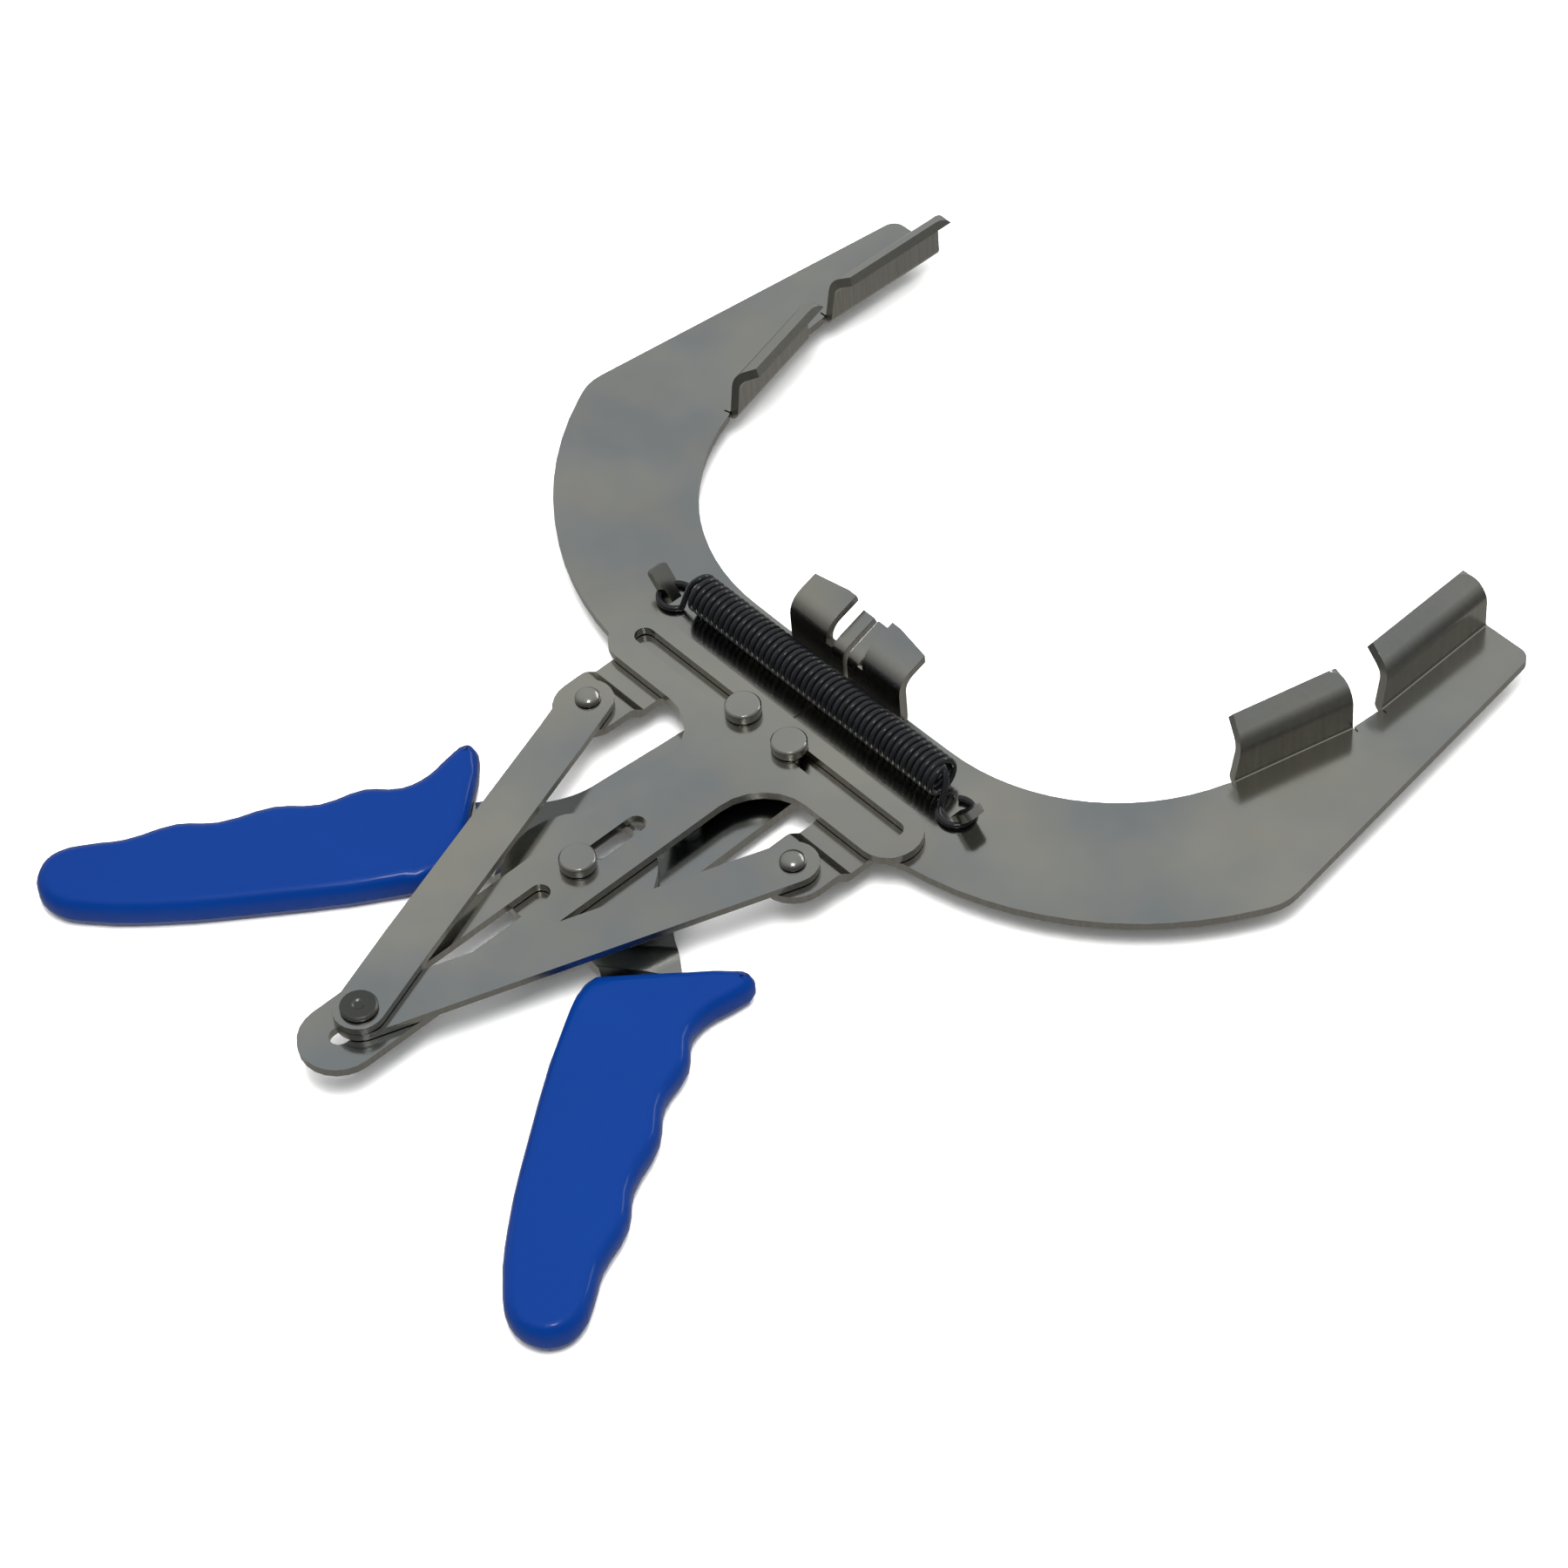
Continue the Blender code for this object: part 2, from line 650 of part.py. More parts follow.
def right_lever():
    """The lower lever: its boss lies flat, and a slot in it opens towards the arms."""
    boss = sheet([circle(PIVOT, BOSS_RADIUS)], LEVER_LOW, LEVER_TOP)
    body = combine(lever_body(LOWER_ARM_NARROWER), boss, "UNION")
    window = sheet([capsule((-4.5, -9), (-4.5, 6), 3.2)], -FAR, 0)
    body = combine(body, window, "DIFFERENCE")
    hole = sheet([circle(PIVOT, RIVET_HOLE)], -FAR, 0)
    return combine(body, hole, "DIFFERENCE")


def left_lever():
    """The upper lever: its boss is pressed up over the other lever's boss."""
    raised = turned([
        (0, RAISED_TOP), (RAISED_RADIUS, RAISED_TOP), (RAISED_FOOT_RADIUS, LEVER_TOP),
        (RAISED_FOOT_RADIUS, LEVER_LOW), (0, LEVER_LOW),
    ], PIVOT)
    kept = sheet([mirrored(lever_plan(0))], -FAR, FAR)
    kept = combine(kept, sheet([circle(PIVOT, RAISED_RADIUS)], RAISED_LOW, FAR / 2), "UNION")
    raised = combine(raised, kept, "INTERSECT")
    body = combine(mirror_of(lever_body()), raised, "UNION")
    below = sheet([circle(PIVOT, BOSS_RADIUS + 2 * GAP)], -FAR, RAISED_LOW)
    body = combine(body, below, "DIFFERENCE")
    window = sheet([capsule((-1.6, -10.6), (-1.6, -3.8), 3.3)], -FAR, 0)
    body = combine(body, window, "DIFFERENCE")
    hole = sheet([circle(PIVOT, RIVET_HOLE)], -FAR, 0)
    return combine(body, hole, "DIFFERENCE")


def mirror_of(solid):
    """The mirror image of a solid, which it replaces."""
    copy = mirror_copy(solid)
    bpy.data.objects.remove(solid, do_unlink=True)
    return copy


# Grips

def grip_outline():
    """Control points (along, outward, corner) of the grip: mouth, thumb rest, fingers, end."""
    return [
        (-3.2, 2.2, True), (-8.2, 24.2, False), (-10.6, 36.2, False), (-10.4, 41.2, False),
        (-7.8, 42.8, False), (-2.2, 38.9, False), (3.4, 33.4, False), (10.0, 30.4, False),
        (20.0, 31.5, False), (32.0, 28.2, False), (44.0, 29.4, False), (59.0, 26.4, False),
        (70.0, 27.6, False), (84.0, 24.4, False), (93.0, 24.4, False), (101.5, 23.2, False),
        (106.4, 18.8, False), (107.2, 11.8, False), (103.0, 5.4, False), (94.2, 1.8, False),
        (75.9, -1.4, False), (50.5, -2.8, False), (12.0, -2.5, False), (0.5, -0.6, False),
    ]


def grip():
    """The right grip: a rounded four-finger handle with a pocket for the tang."""
    curve = bpy.data.curves.new("grip", "CURVE")
    curve.dimensions = "2D"
    curve.fill_mode = "BOTH"
    curve.resolution_u = 3
    curve.bevel_depth = GRIP_EDGE * MM
    curve.bevel_resolution = 1
    curve.offset = -GRIP_EDGE * MM
    curve.extrude = (GRIP_THICKNESS / 2 - GRIP_EDGE) * MM
    spline = curve.splines.new("BEZIER")
    outline = grip_outline()
    spline.bezier_points.add(len(outline) - 1)
    spline.use_cyclic_u = True
    for point, (along, outward, corner) in zip(spline.bezier_points, outline):
        point.co = (along * MM, outward * MM, 0)
        point.handle_left_type = "VECTOR" if corner else "AUTO"
        point.handle_right_type = "VECTOR" if corner else "AUTO"
    handle = as_mesh(bpy.data.objects.new("grip", curve))
    angle = radians(GRIP_ANGLE)
    across = Vector((cos(angle), sin(angle), 0))
    upright = Vector((-sin(angle), cos(angle), 0))
    stand(handle, (*GRIP_START, GRIP_TOP - GRIP_THICKNESS / 2), across, upright)
    tang = tang_corners(GAP)
    mouth = [(-40, 24.6 + GAP), *tang, (-40, 3 - GAP)]
    low = TANG_MIDDLE - LEVER_SHEET / 2 - GAP
    high = TANG_MIDDLE + LEVER_SHEET / 2 + GAP
    pocket = sheet([[grip_point(*p) for p in mouth]], low, high)
    return combine(handle, pocket, "DIFFERENCE")


# Links

def link(hole, path):
    """A link from the tab pin to the rear pin; its path is its side view from the rear pin."""
    start = Vector((*REAR_PIN, 0))
    end = Vector((*TAB_PIN, 0))
    holes = [circle(REAR_PIN, hole), circle(TAB_PIN, LINK_HOLE)]
    plan = sheet([capsule(REAR_PIN, TAB_PIN, LINK_HALF), *holes], -FAR, FAR)
    side = stand(sheet([bent_strip(path, LINK_SHEET)], -FAR, FAR), start, end - start)
    return combine(plan, side, "INTERSECT")


def right_link():
    middle = (LINK_LOW + LINK_TOP) / 2
    return link(REAR_HOLE_LOOSE, [(-10, middle), (140, middle)])


def left_link():
    """The upper link at the rear pin, stepped down to the tab's level."""
    upper = (UPPER_LINK_LOW + UPPER_LINK_TOP) / 2
    lower = (LINK_LOW + LINK_TOP) / 2
    near, far = LINK_BEND
    path = [(-10, upper), (near, upper, 3), (far, lower, 3), (140, lower)]
    return mirror_of(link(LINK_HOLE, path))


# Spring

def smooth_path(points, steps):
    """Points on a smooth curve through the given ones."""
    path = []
    ends = [points[0], *points, points[-1]]
    for a, b, c, d in zip(ends, ends[1:], ends[2:], ends[3:]):
        for i in range(steps):
            t = i / steps
            path.append(0.5 * (2 * b + (c - a) * t + (2 * a - 5 * b + 4 * c - d) * t ** 2
                               + (3 * b - a - 3 * c + d) * t ** 3))
    return [*path, points[-1]]


def spring_loop():
    """The right end of the wire: from the last turn to a level loop around the lug."""
    wire = SPRING_WIRE / 2
    loop_z = JAW_TOP + GAP + wire
    lean = radians(LUG_LEAN)
    lug_face = LUG[0] + LUG_THICKNESS / 2 / cos(lean) + (GAP + SPRING_WIRE) * tan(lean)
    loop_x = lug_face + 0.5 + wire - LOOP_RADIUS
    lead = [
        Vector((SPRING_HALF, SPRING_Y, SPRING_Z + SPRING_RADIUS)),
        Vector((SPRING_HALF + 2.2, SPRING_Y - 1.6, SPRING_Z + 1.5)),
    ]
    loop = [
        Vector((loop_x + LOOP_RADIUS * cos(a), LUG[1] + LOOP_RADIUS * sin(a), loop_z))
        for a in (radians(200 + 290 * i / 12) for i in range(13))
    ]
    return smooth_path(lead + loop, 2)


def coil_point(turns):
    """A point on the wire, counted in turns from the middle of the spring."""
    angle = pi + 2 * pi * turns
    return Vector((
        2 * SPRING_HALF * turns / SPRING_TURNS,
        SPRING_Y + SPRING_RADIUS * sin(angle),
        SPRING_Z + SPRING_RADIUS * cos(angle),
    ))


def spring_half(sign):
    """Half of the close-wound spring, from its middle to the loop around the lug."""
    steps_in_turn = 8
    steps = ceil(SPRING_TURNS / 2 * steps_in_turn)
    turns = [0.01, 0.03, *(i / steps_in_turn for i in range(1, steps))]
    coil = [coil_point(sign * t) for t in turns]
    loop = [Vector((sign * p.x, p.y, p.z)) for p in spring_loop()]
    path = coil + loop
    curve = bpy.data.curves.new("wire", "CURVE")
    curve.dimensions = "3D"
    curve.bevel_depth = SPRING_WIRE / 2 * MM
    curve.bevel_resolution = 1
    curve.use_fill_caps = True
    spline = curve.splines.new("POLY")
    spline.points.add(len(path) - 1)
    for point, place in zip(spline.points, path):
        point.co = (*(place * MM), 1)
    return as_mesh(bpy.data.objects.new("wire", curve))


# Assembly

def build_side(side, guide_axis):
    """The axes of one half: spacer, lever, jaw and link in a chain, and the spring's end."""
    sign = 1 if side == "right" else -1
    spots = (SPACER_AXIS, LEVER_MIDDLE, STUD, TAB_PIN)
    names = ("spacer", "lever", "jaw", "link")
    axes = {}
    parent = guide_axis
    for name, spot in zip(names, spots):
        parent = joint_axis(f"{side}_{name}_axis", parent, (sign * spot[0], spot[1]))
        axes[name] = parent
    axes["spring"] = joint_axis(f"{side}_spring_axis", guide_axis, (sign * LUG[0], LUG[1]))
    return axes


def stand_on_ground(root):
    """Moves the tool so that the middle of its underside is at the origin."""
    bpy.context.view_layer.update()
    corners = [
        part.matrix_world @ Vector(corner)
        for part in tool.objects if part.type == "MESH"
        for corner in part.bound_box
    ]
    low = Vector([min(c[i] for c in corners) for i in range(3)])
    high = Vector([max(c[i] for c in corners) for i in range(3)])
    root.location = (-(low.x + high.x) / 2, -(low.y + high.y) / 2, -low.z)


def assemble():
    root = joint_axis("guide_axis", None, (0, 0))
    right = build_side("right", root)
    left = build_side("left", root)
    steel_part(guide_plate(), "guide_plate", root)

    pairs = (
        (jaw, "jaw", "jaw", steel_part),
        (lambda: rivet(STUD), "stud", "jaw", bright_part),
        (washer, "washer", "jaw", bright_part),
        (link_pin, "link_pin", "jaw", bright_part),
        (spacer_rivet, "spacer_rivet", "spacer", bright_part),
    )
    for make, name, body, coat in pairs:
        solid = make()
        coat(mirror_copy(solid), f"{name}_left", left[body])
        coat(solid, f"{name}_right", right[body])

    steel_part(right_lever(), "lever_right", right["lever"])
    steel_part(left_lever(), "lever_left", left["lever"])
    bright_part(rivet(PIVOT), "pivot_rivet", right["lever"])
    handle = grip()
    finish(mirror_copy(handle), "grip_left", left["lever"], BLUE, 0.3, 0.0)
    finish(handle, "grip_right", right["lever"], BLUE, 0.3, 0.0)

    steel_part(right_link(), "link_right", right["link"])
    steel_part(left_link(), "link_left", left["link"])
    bright_part(rear_pin(), "rear_pin", left["link"])
    finish(spring_half(1), "spring_right", right["spring"], BLACK, 0.35, 0.8)
    finish(spring_half(-1), "spring_left", left["spring"], BLACK, 0.35, 0.8)
    stand_on_ground(root)


assemble()
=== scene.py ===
import json
import math

import bmesh
import bpy
from mathutils import Matrix, Vector

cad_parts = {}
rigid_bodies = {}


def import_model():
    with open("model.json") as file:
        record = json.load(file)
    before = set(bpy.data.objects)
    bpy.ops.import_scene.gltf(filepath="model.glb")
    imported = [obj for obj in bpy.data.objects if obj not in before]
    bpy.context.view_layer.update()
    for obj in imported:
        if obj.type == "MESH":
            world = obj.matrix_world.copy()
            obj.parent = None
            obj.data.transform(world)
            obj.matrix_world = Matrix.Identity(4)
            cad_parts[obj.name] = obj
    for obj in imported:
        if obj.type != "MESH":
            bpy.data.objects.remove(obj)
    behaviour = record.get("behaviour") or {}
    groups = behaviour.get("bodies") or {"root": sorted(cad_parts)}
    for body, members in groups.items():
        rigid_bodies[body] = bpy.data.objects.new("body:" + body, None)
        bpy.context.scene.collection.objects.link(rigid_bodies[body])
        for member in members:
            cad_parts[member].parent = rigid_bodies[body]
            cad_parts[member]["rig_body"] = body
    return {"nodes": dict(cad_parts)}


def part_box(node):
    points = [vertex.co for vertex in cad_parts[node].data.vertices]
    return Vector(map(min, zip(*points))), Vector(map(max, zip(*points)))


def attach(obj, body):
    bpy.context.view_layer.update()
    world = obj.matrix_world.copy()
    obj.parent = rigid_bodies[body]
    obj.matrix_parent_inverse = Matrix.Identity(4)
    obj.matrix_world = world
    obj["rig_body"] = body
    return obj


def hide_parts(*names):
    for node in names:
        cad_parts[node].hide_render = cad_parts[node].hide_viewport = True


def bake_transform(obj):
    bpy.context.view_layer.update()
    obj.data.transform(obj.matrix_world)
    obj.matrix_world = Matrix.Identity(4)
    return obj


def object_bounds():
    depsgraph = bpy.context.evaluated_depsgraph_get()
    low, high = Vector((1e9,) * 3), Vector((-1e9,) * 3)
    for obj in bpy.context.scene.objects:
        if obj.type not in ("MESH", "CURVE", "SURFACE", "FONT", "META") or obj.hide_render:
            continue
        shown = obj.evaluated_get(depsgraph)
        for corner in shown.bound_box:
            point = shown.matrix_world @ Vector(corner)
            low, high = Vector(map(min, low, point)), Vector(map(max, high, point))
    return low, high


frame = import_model()
low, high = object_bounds()
print("Frame loaded:", len(frame["nodes"]), "solids")

mm = 0.001
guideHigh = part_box("guide_plate")[1]
plateTop = guideHigh.z
crossbarFront = guideHigh.y
crossbarFrontY = 54  # the crossbar's front edge in the working millimetres below


def place(x, y, z):
    # Working millimetres: x from the jaws' seam, y forwards, z up from the guide plate's top
    return Vector((x * mm, crossbarFront + (y - crossbarFrontY) * mm, plateTop + z * mm))


# Shader maths: one wrapped socket, so that a sum or a product adds its own Math node

class Wire:
    def __init__(self, tree, socket):
        self.tree = tree
        self.socket = socket

    def combined(self, operation, first, second=0.0):
        node = self.tree.nodes.new("ShaderNodeMath")
        node.operation = operation
        for slot, value in zip(node.inputs, (first, second)):
            if isinstance(value, Wire):
                self.tree.links.new(value.socket, slot)
            else:
                slot.default_value = value
        return Wire(self.tree, node.outputs[0])

    def __add__(self, other):
        return self.combined("ADD", self, other)

    def __mul__(self, other):
        return self.combined("MULTIPLY", self, other)

    def __rsub__(self, other):
        return self.combined("SUBTRACT", other, self)

    def __pow__(self, other):
        return self.combined("POWER", self, other)

    def __abs__(self):
        return self.combined("ABSOLUTE", self)

    __radd__ = __add__
    __rmul__ = __mul__


class NodeTree:
    # Shader nodes, each made by one call with its settings first and then its sockets

    def __init__(self, tree):
        self.tree = tree

    def node(self, kind, settings=None, inputs=None, output=0):
        made = self.tree.nodes.new(kind)
        for key, value in (settings or {}).items():
            if key == "stops":
                for element, position in zip(made.color_ramp.elements, value):
                    element.position = position
            else:
                setattr(made, key, value)
        for key, value in (inputs or {}).items():
            self.plug(made.inputs[key], value)
        return Wire(self.tree, made.outputs[output])

    def plug(self, slot, value):
        if isinstance(value, Wire):
            self.tree.links.new(value.socket, slot)
        else:
            slot.default_value = value


class Finish(NodeTree):
    def __init__(self, name):
        self.material = bpy.data.materials.new(name)
        self.material.use_nodes = True
        super().__init__(self.material.node_tree)
        self.shader = self.tree.nodes["Principled BSDF"]

    def set(self, **values):
        for key, value in values.items():
            self.plug(self.shader.inputs[key.replace("_", " ")], value)

    def coordinates(self, stretch=(1, 1, 1)):
        spot = self.node("ShaderNodeTexCoord", output="Object")
        return self.node("ShaderNodeMapping", inputs={"Vector": spot, "Scale": stretch})

    def noise(self, scale, detail=2.0, stretch=(1, 1, 1)):
        return self.node("ShaderNodeTexNoise", inputs={
            "Vector": self.coordinates(stretch), "Scale": scale, "Detail": detail})

    def mixed(self, share, first, second):
        return self.node("ShaderNodeMix", {"data_type": "RGBA"}, {
            "Factor": share, 6: first, 7: second}, output=2)

    def ramp(self, value, black, white):
        return self.node("ShaderNodeValToRGB", {"stops": (black, white)}, {"Fac": value})

    def bumped(self, height, distance, strength=1.0):
        self.plug(self.shader.inputs["Normal"], self.node("ShaderNodeBump", inputs={
            "Height": height, "Distance": distance, "Strength": strength}))


plating = {
    "bright": (0.54, 0.54, 0.50, 1),
    "green": (0.385, 0.42, 0.445, 1),
    "warm": (0.53, 0.50, 0.42, 1),
    # Painted shade: the dark brown that the upright sides are mixed towards
    "sideShadeColour": (0.27, 0.25, 0.215, 1),
    "cloudScale": 13, "cloudFrom": 0.38, "cloudTo": 0.60,
    "stainScale": 30, "stainStretch": (1, 1.6, 1), "stainFrom": 0.45, "stainTo": 0.80,
    "stainShare": 0.5,
    # Painted shade on the sides: how sharply it follows the uprightness, how much of it, and the
    # streaks it comes in
    "sideSharpness": 0.7, "sideShadeShare": 0.55, "sideShadeStreakShare": 0.6, "sideShadeStreakStretch": (900, 900, 60),
    "roughness": 0.15, "stainRoughness": 0.05, "sideRoughness": 0.10,
    "grainStretch": (240, 2600, 2600), "pitScale": 500, "pitShare": 0.5, "relief": 0.008 * mm,
}


def platedSteel(name, look):
    # Plated sheet: faint clouds of colour, a fine grain, and rougher sides darkened with streaked
    # painted shade
    steel = Finish(name)
    clouds = steel.ramp(steel.noise(look["cloudScale"], 4), look["cloudFrom"], look["cloudTo"])
    stains = steel.ramp(steel.noise(look["stainScale"], 4, look["stainStretch"]),
                        look["stainFrom"], look["stainTo"])
    top = steel.mixed(clouds, look["bright"], look["green"])
    top = steel.mixed(stains * look["stainShare"], top, look["warm"])
    facing = steel.node("ShaderNodeTexCoord", output="Normal")
    upright = steel.node("ShaderNodeSeparateXYZ", inputs={"Vector": facing}, output="Z")
    # Painted shade: upright faces are mixed towards the dark side colour, more in streaks; the
    # same side mask also raises the roughness
    side = (1 - abs(upright)) ** look["sideSharpness"]
    sideShadeStreaks = steel.noise(1, 3, look["sideShadeStreakStretch"])
    sideShadeShare = side * (look["sideShadeShare"] + look["sideShadeStreakShare"] * sideShadeStreaks)
    grain = steel.noise(1, 3, look["grainStretch"])
    pits = steel.noise(look["pitScale"], 1)
    roughness = look["roughness"] + look["stainRoughness"] * stains
    steel.set(Base_Color=steel.mixed(sideShadeShare, top, look["sideShadeColour"]), Metallic=1.0,
              Roughness=roughness + look["sideRoughness"] * side)
    steel.bumped(grain + look["pitShare"] * pits, look["relief"])
    return steel.material


vinyl = {
    "deep": (0.0, 0.017, 0.118, 1),
    "light": (0.0, 0.021, 0.132, 1),
    "cloudScale": 30,
    "roughness": 0.26, "specular": 0.10, "coat": 0.22, "coatRoughness": 0.08,
}


def blueVinyl(look):
    # Moulded grips: an even gloss and hardly any change of colour
    blue = Finish("blueVinyl")
    clouds = blue.noise(look["cloudScale"], 2)
    blue.set(Base_Color=blue.mixed(clouds, look["deep"], look["light"]),
             Roughness=look["roughness"], Specular_IOR_Level=look["specular"],
             Coat_Weight=look["coat"], Coat_Roughness=look["coatRoughness"])
    return blue.material


blackWire = {
    "thin": (0.003, 0.0032, 0.004, 1),
    "thick": (0.010, 0.0105, 0.0125, 1),
    "patchScale": 260, "roughness": 0.18, "patchRoughness": 0.08, "specular": 0.5,
    "skinScale": 2400, "skinDepth": 0.01 * mm, "skinStrength": 0.6,
}


def oiledBlack(look):
    black = Finish("oiledBlack")
    patches = black.noise(look["patchScale"], 3)
    black.set(Base_Color=black.mixed(patches, look["thin"], look["thick"]), Metallic=0.0,
              Roughness=look["roughness"] + look["patchRoughness"] * patches,
              Specular_IOR_Level=look["specular"])
    black.bumped(black.noise(look["skinScale"], 2), look["skinDepth"], look["skinStrength"])
    return black.material


rivetLook = plating | {"roughness": 0.19, "bright": (0.54, 0.54, 0.51, 1)}
# A darker, rougher copy of the plating, used for the rear pin
darkRivetLook = plating | {
    "bright": (0.15, 0.15, 0.14, 1),
    "green": (0.12, 0.13, 0.125, 1),
    "warm": (0.16, 0.15, 0.13, 1),
    "roughness": 0.34,
}
sheetSteel = platedSteel("platedSheet", plating)
rivetSteel = platedSteel("platedRivet", rivetLook)
darkRivetSteel = platedSteel("darkRivet", darkRivetLook)
grips = blueVinyl(vinyl)
wireBlack = oiledBlack(blackWire)
print("Finishes made")


# Pieces

def asPiece(mesh, name, material, body):
    mesh.materials.clear()
    mesh.materials.append(material)
    mesh.shade_smooth()
    piece = bpy.data.objects.new(name, mesh)
    bpy.context.scene.collection.objects.link(piece)
    if body:
        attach(piece, body)
    return piece


def bodyOf(node):
    return frame["nodes"][node]["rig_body"]


edgeBreak = {
    "sheet": 0.32 * mm, "turned": 0.12 * mm, "moulded": 0.0,  # how wide the edges are broken
    "segments": 2, "sharpAngle": math.radians(28), "flatAngle": math.radians(0.4),
    "mergeDistance": 0.002 * mm, "shortestEdge": 0.004 * mm, "evenShading": 50,
}


def finishedPiece(node, material, width):
    # The CAD solid with its faces joined up and its edges broken, in the same place
    work = bmesh.new()
    work.from_mesh(frame["nodes"][node].data)
    bmesh.ops.remove_doubles(work, verts=work.verts, dist=edgeBreak["mergeDistance"])
    bmesh.ops.dissolve_limit(work, angle_limit=edgeBreak["flatAngle"], verts=work.verts,
                             edges=work.edges, use_dissolve_boundaries=False)
    bmesh.ops.dissolve_degenerate(work, edges=work.edges, dist=edgeBreak["shortestEdge"])
    sharp = [edge for edge in work.edges if len(edge.link_faces) == 2
             and edge.calc_face_angle(0) > edgeBreak["sharpAngle"]]
    if width:
        bmesh.ops.bevel(work, geom=sharp, offset=width, segments=edgeBreak["segments"],
                        profile=0.5, affect="EDGES", material=-1, clamp_overlap=True,
                        loop_slide=True)
    name = "finished_" + node
    mesh = bpy.data.meshes.new(name)
    work.to_mesh(mesh)
    work.free()
    piece = asPiece(mesh, name, material, bodyOf(node))
    even = piece.modifiers.new("evenShading", "WEIGHTED_NORMAL")
    even.weight = edgeBreak["evenShading"]
    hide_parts(node)


sheetNodes = ("guide_plate", "jaw_left", "jaw_right", "lever_left", "lever_right",
              "link_left", "link_right")
for node in sheetNodes:
    finishedPiece(node, sheetSteel, edgeBreak["sheet"])
print("Sheet steel pieces finished")

turnedNodes = ("stud_left", "stud_right", "washer_left", "washer_right", "link_pin_left",
               "link_pin_right", "spacer_rivet_left", "spacer_rivet_right", "pivot_rivet",
               "rear_pin")
for node in turnedNodes:
    finish = darkRivetSteel if node == "rear_pin" else rivetSteel
    finishedPiece(node, finish, edgeBreak["turned"])
print("Rivets and pins finished")

for node in ("grip_left", "grip_right"):
    finishedPiece(node, grips, edgeBreak["moulded"])
print("Grips finished")


# Spring: each half is swept as one wire

spring = {
    "halfLength": 48.0, "turns": 47, "radius": 4.75, "wire": 1.75, "y": 65.5, "axisZ": 3.0,
    "middleGap": 0.01,  # turns left out on each side of the middle, where the halves meet
    "leadOut": 2.2, "leadIn": 1.6, "leadRise": 1.5,
    "loopX": 55.3, "loopY": 62.6, "loopZ": -1.75, "loopRadius": 4.7,
    "loopFrom": 200, "loopSweep": 290, "loopSteps": 24,
    "stepsInTurn": 20, "sides": 8, "pathSteps": 3, "blendPast": 1,
}


def coilPoint(turns):
    angle = math.pi + 2 * math.pi * turns
    return place(2 * spring["halfLength"] * turns / spring["turns"],
                 spring["y"] + spring["radius"] * math.sin(angle),
                 spring["axisZ"] + spring["radius"] * math.cos(angle))


def smoothPath(points, steps):
    # A Catmull-Rom spline through the points
    path = []
    ends = [points[0], *points, points[-1]]
    for a, b, c, d in zip(ends, ends[1:], ends[2:], ends[3:]):
        for i in range(steps):
            t = i / steps
            path.append(0.5 * (2 * b + (c - a) * t + (2 * a - 5 * b + 4 * c - d) * t ** 2
                               + (3 * b - a - 3 * c + d) * t ** 3))
    return [*path, points[-1]]


def loopPath():
    # From the last turn down to the open ring round the lug, on the right-hand side
    half, radius = spring["halfLength"], spring["radius"]
    lead = [place(half, spring["y"], spring["axisZ"] + radius),
            place(half + spring["leadOut"], spring["y"] - spring["leadIn"],
                  spring["axisZ"] + spring["leadRise"])]
    steps = spring["loopSteps"]
    angles = [math.radians(spring["loopFrom"] + spring["loopSweep"] * i / steps)
              for i in range(steps + 1)]
    loop = [place(spring["loopX"] + spring["loopRadius"] * math.cos(angle),
                  spring["loopY"] + spring["loopRadius"] * math.sin(angle), spring["loopZ"])
            for angle in angles]
    return smoothPath(lead + loop, spring["pathSteps"])


def sweptWire(path, radius, sides):
    # A ring of the wire's section, extruded from point to point and turned with the path
    work = bmesh.new()
    headings = [(b - a).normalized() for a, b in zip(path, path[1:])]
    facing = headings[0].to_track_quat("Z", "Y").to_matrix().to_4x4()
    bmesh.ops.create_circle(work, cap_ends=True, segments=sides, radius=radius,
                            matrix=Matrix.Translation(path[0]) @ facing)
    ring = list(work.edges)
    into = headings[0]
    for i, (here, there) in enumerate(zip(path, path[1:])):
        grown = bmesh.ops.extrude_edge_only(work, edges=ring)["geom"]
        points = [part for part in grown if isinstance(part, bmesh.types.BMVert)]
        ring = [part for part in grown if isinstance(part, bmesh.types.BMEdge)]
        bmesh.ops.translate(work, verts=points, vec=there - here)
        out = headings[min(i + 1, len(headings) - 1)]
        bisector = (headings[i] + out).normalized()
        turn = into.rotation_difference(bisector).to_matrix()
        bmesh.ops.rotate(work, verts=points, cent=there, matrix=turn)
        into = bisector
    bmesh.ops.contextual_create(work, geom=ring)
    bmesh.ops.recalc_face_normals(work, faces=work.faces)
    mesh = bpy.data.meshes.new("wire")
    work.to_mesh(mesh)
    work.free()
    return mesh


def springHalf(side, sign):
    steps = spring["stepsInTurn"]
    stepCount = math.ceil(spring["turns"] / 2 * steps)
    turns = [spring["middleGap"], *(i / steps for i in range(1, stepCount))]
    coil = [coilPoint(sign * t) for t in turns]
    loop = [Vector((sign * p.x, p.y, p.z)) for p in loopPath()]
    mesh = sweptWire(coil + loop, spring["wire"] / 2 * mm, spring["sides"])
    piece = asPiece(mesh, "spring_half_" + side, wireBlack, None)
    last = sign * (spring["halfLength"] + spring["blendPast"])
    place(0, spring["y"], 0)
    place(last, spring["y"], 0)
    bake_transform(piece)
    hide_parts("spring_" + side)


springHalf("right", 1)
springHalf("left", -1)
print("Spring wound")


# Stage

ground = {"size": 6.0, "drop": 0.2 * mm, "white": (0.93, 0.93, 0.93, 1), "roughness": 0.9,
          "specular": 0.1}


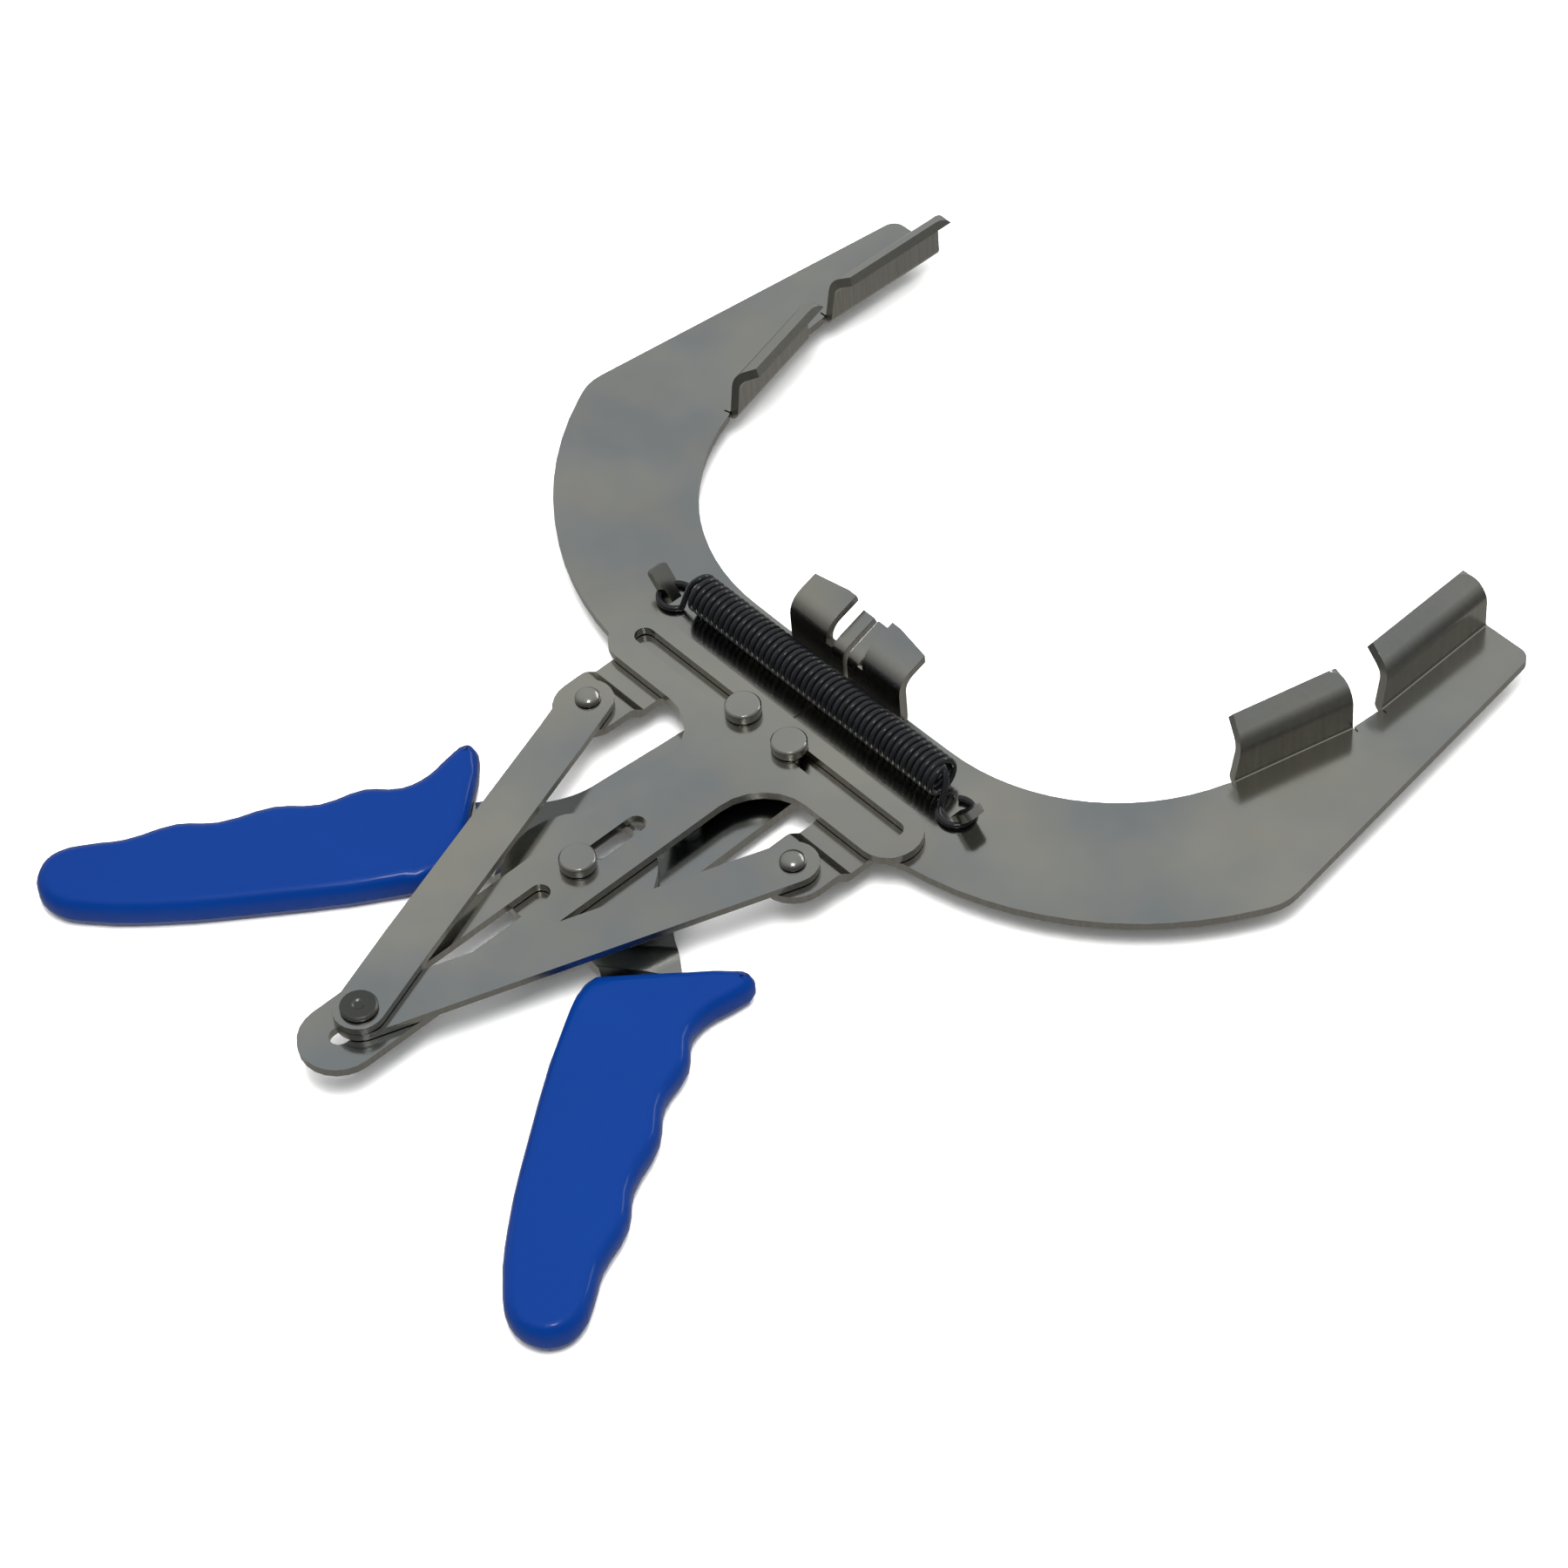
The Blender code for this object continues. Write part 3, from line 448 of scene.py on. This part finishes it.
def floorPlane():
    work = bmesh.new()
    bmesh.ops.create_grid(work, x_segments=1, y_segments=1, size=ground["size"])
    bmesh.ops.translate(work, verts=work.verts, vec=(0, 0, low.z - ground["drop"]))
    mesh = bpy.data.meshes.new("floor")
    work.to_mesh(mesh)
    work.free()
    floor = bpy.data.objects.new("floor", mesh)
    bpy.context.scene.collection.objects.link(floor)
    paper = Finish("paleFloor")
    paper.set(Base_Color=ground["white"], Roughness=ground["roughness"],
              Specular_IOR_Level=ground["specular"])
    mesh.materials.append(paper.material)
    floor.visible_glossy = False  # the steel mirrors the studio's table instead


floorPlane()

studio = {
    "tint": (1, 1, 0.97, 1),
    "brightSide": (-0.52, 0.41, 0.75),  # the wall and ceiling that the flat tops mirror
    "bright": 0.47, "room": 0.13, "edgeFrom": -0.35, "edgeTo": 0.75,
    "table": 0.26, "tableFrom": -0.35, "tableTo": -0.5,
}


def studioRoom():
    # A dim room with one large bright side, and a pale table below the horizon
    world = bpy.data.worlds.new("studio")
    bpy.context.scene.world = world
    world.use_nodes = True
    room = NodeTree(world.node_tree)

    def share(value, start, end):
        return room.node("ShaderNodeMapRange", {"interpolation_type": "SMOOTHSTEP"}, {
            "Value": value, "From Min": start, "From Max": end})

    spot = room.node("ShaderNodeTexCoord", output="Generated")
    toBright = room.node("ShaderNodeVectorMath", {"operation": "DOT_PRODUCT"}, {
        0: spot, 1: Vector(studio["brightSide"]).normalized()}, output="Value")
    height = room.node("ShaderNodeSeparateXYZ", inputs={0: spot}, output="Z")
    sky = share(toBright, studio["edgeFrom"], studio["edgeTo"])
    table = share(height, studio["tableFrom"], studio["tableTo"])
    level = studio["room"] + (studio["bright"] - studio["room"]) * sky + studio["table"] * table
    background = world.node_tree.nodes["Background"]
    room.plug(background.inputs["Color"], studio["tint"])
    room.plug(background.inputs["Strength"], level)


studioRoom()

# The two lights that aren't mirrored would burn out the flat steel tops seen from above
lights = {
    "overhead": {"spot": (0.22, -0.16, 1.1), "size": (0.45, 0.45), "power": 14, "mirrored": False},
    "glint": {"spot": (0.44, -0.35, 1.06), "size": (0.2, 0.2), "power": 2.5, "mirrored": True},
    "back": {"spot": (0.1, 1.2, 0.5), "size": (1.0, 0.15), "power": 2, "mirrored": True},
    "floorLight": {"spot": (0, 0, 2.2), "size": (4, 4), "power": 100, "mirrored": False},
}


def softLight(name, light):
    lamp = bpy.data.lights.new(name, "AREA")
    lamp.shape = "RECTANGLE"
    lamp.size, lamp.size_y = light["size"]
    lamp.energy = light["power"]
    holder = bpy.data.objects.new(name, lamp)
    holder.location = light["spot"]
    holder.rotation_euler = (-Vector(light["spot"])).to_track_quat("-Z", "Y").to_euler()
    holder.visible_glossy = light["mirrored"]
    bpy.context.scene.collection.objects.link(holder)


for name, light in lights.items():
    softLight(name, light)

view = {
    "azimuth": -38.13, "elevation": 48.46, "roll": -5.48,  # degrees, seen from the plate
    "aside": 38.64, "above": 10.38, "distance": 1278.8,  # working millimetres
    "lens": 112.858, "sensor": 36, "nearest": 0.05, "farthest": 20,
}


def mainCamera():
    azimuth, elevation, roll = (math.radians(view[k]) for k in ("azimuth", "elevation", "roll"))
    back = Vector((math.cos(azimuth) * math.cos(elevation),
                   math.sin(azimuth) * math.cos(elevation), math.sin(elevation)))
    right = Vector((-math.sin(azimuth), math.cos(azimuth), 0))
    up = back.cross(right)
    across = math.cos(roll) * right + math.sin(roll) * up
    upward = math.cos(roll) * up - math.sin(roll) * right
    lens = bpy.data.cameras.new("camera")
    lens.lens = view["lens"]
    lens.sensor_width = view["sensor"]
    lens.clip_start, lens.clip_end = view["nearest"], view["farthest"]
    camera = bpy.data.objects.new("camera", lens)
    turn = Matrix((across, upward, back)).transposed().to_4x4()
    spot = place(0, 0, 0) + mm * (view["aside"] * across + view["above"] * upward
                                  + view["distance"] * back)
    camera.matrix_world = Matrix.Translation(spot) @ turn
    bpy.context.scene.collection.objects.link(camera)
    bpy.context.scene.camera = camera


mainCamera()
bpy.context.scene.view_settings.view_transform = "Standard"
print("Stage set")
